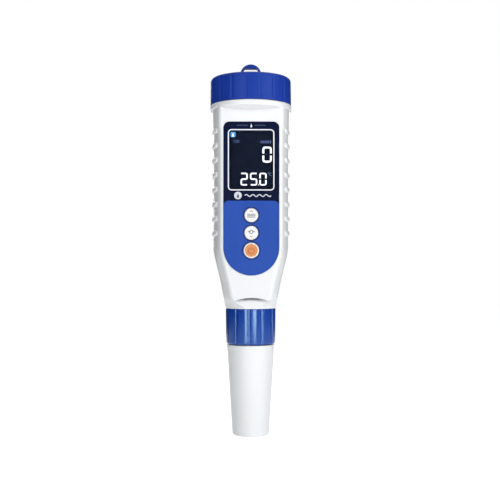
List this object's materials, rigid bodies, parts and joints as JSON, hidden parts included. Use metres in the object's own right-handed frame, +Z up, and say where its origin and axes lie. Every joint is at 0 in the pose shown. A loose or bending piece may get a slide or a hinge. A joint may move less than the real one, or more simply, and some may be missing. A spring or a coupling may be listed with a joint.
{
  "type": "conductivity meter pen",
  "caption": "Pen-shaped conductivity and dissolved-solids water tester with a screw battery cap, display, keys, plug-in probe and protective sleeve.",
  "frame": {"origin": "centre of the protective sleeve's foot, on the surface that the pen stands on", "axes": "+Z up along the pen, -Y out of the display's face, +X to the right of someone who reads the display"},
  "size_m": [0.0406, 0.0406, 0.1844],
  "materials": {
    "white_shell": "satin moulded ABS",
    "blue_cap": "semi-gloss moulded ABS",
    "sleeve_white": "satin polypropylene",
    "panel_navy": "printed gloss acrylic",
    "keypad_blue": "satin moulded",
    "display_window": "clear",
    "lcd": "dark negative display",
    "backlight": "white diffuser",
    "board_green": "solder mask",
    "chip_black": "moulded epoxy",
    "switch_steel": "plated",
    "button_white": "satin moulded",
    "lens_orange": "gloss",
    "inner_black": "moulded",
    "cell_wrap": "plain wrap",
    "contact_plate": "nickel-plated brass",
    "screw_steel": "zinc-plated",
    "rubber_black": "matte",
    "flex_amber": "polyimide film",
    "probe_grey": "moulded",
    "electrode_metal": "polished"
  },
  "bodies": {
    "housing": {"housing": "white_shell", "cap_seal": "rubber_black", "front_panel": "panel_navy", "keypad_overlay": "keypad_blue", "display_lens": "display_window", "lcd_glass": "lcd", "lcd_backlight": "backlight", "lcd_contact_strip": "rubber_black", "main_board": "board_green", "board_screws": "screw_steel", "tact_switches": "switch_steel", "controller_chip": "chip_black", "battery_holder": "inner_black", "battery_cells": "cell_wrap", "base_contacts": "contact_plate", "battery_terminals": "contact_plate", "probe_socket": "inner_black", "probe_flex": "flex_amber"},
    "contact_carrier": {"contact_disc": "inner_black", "contact_springs": "contact_plate"},
    "battery_cap": {"battery_cap": "blue_cap", "disc_screw": "screw_steel"},
    "probe": {"probe_body": "probe_grey", "probe_seal": "rubber_black", "contact_pins": "contact_plate", "electrodes": "electrode_metal", "temperature_sensor": "screw_steel", "electrode_guard": "probe_grey", "sleeve_carrier": "probe_grey", "sleeve_seal": "rubber_black"},
    "collar": {"locking_collar": "blue_cap"},
    "sleeve": {"protective_sleeve": "sleeve_white"},
    "mode_button": {"mode_button": "button_white"},
    "cal_button": {"cal_button": "button_white"},
    "power_button": {"power_button": "button_white", "power_lens": "lens_orange"}
  },
  "joints": [
    {"name": "cap_lift", "type": "slide", "parent": "housing", "child": "contact_carrier", "axis": [0, 0, 1], "range_m": [0, 0.0121]},
    {"name": "cap_turn", "type": "hinge", "parent": "contact_carrier", "child": "battery_cap", "pos_m": [0, 0, 0.17], "axis": [0, 0, 1], "range_deg": [0, 1440]},
    {"name": "probe_pull", "type": "slide", "parent": "housing", "child": "probe", "axis": [0, 0, -1], "range_m": [0, 0.0121]},
    {"name": "collar_turn", "type": "hinge", "parent": "probe", "child": "collar", "pos_m": [0, 0, 0.05], "axis": [0, 0, -1], "range_deg": [0, 1440]},
    {"name": "sleeve_pull", "type": "slide", "parent": "probe", "child": "sleeve", "axis": [0, 0, -1], "range_m": [0, 0.048]},
    {"name": "mode_press", "type": "slide", "parent": "housing", "child": "mode_button", "axis": [0, 1, 0], "range_m": [0, 0.0005], "stiffness_N_per_m": 300},
    {"name": "cal_press", "type": "slide", "parent": "housing", "child": "cal_button", "axis": [0, 1, 0], "range_m": [0, 0.0005], "stiffness_N_per_m": 300},
    {"name": "power_press", "type": "slide", "parent": "housing", "child": "power_button", "axis": [0, 1, 0], "range_m": [0, 0.0005], "stiffness_N_per_m": 300}
  ],
  "couplings": [
    {"joint": "cap_lift", "follows": "cap_turn", "m_per_rad": 0.00047746},
    {"joint": "probe_pull", "follows": "collar_turn", "m_per_rad": 0.00047746}
  ]
}
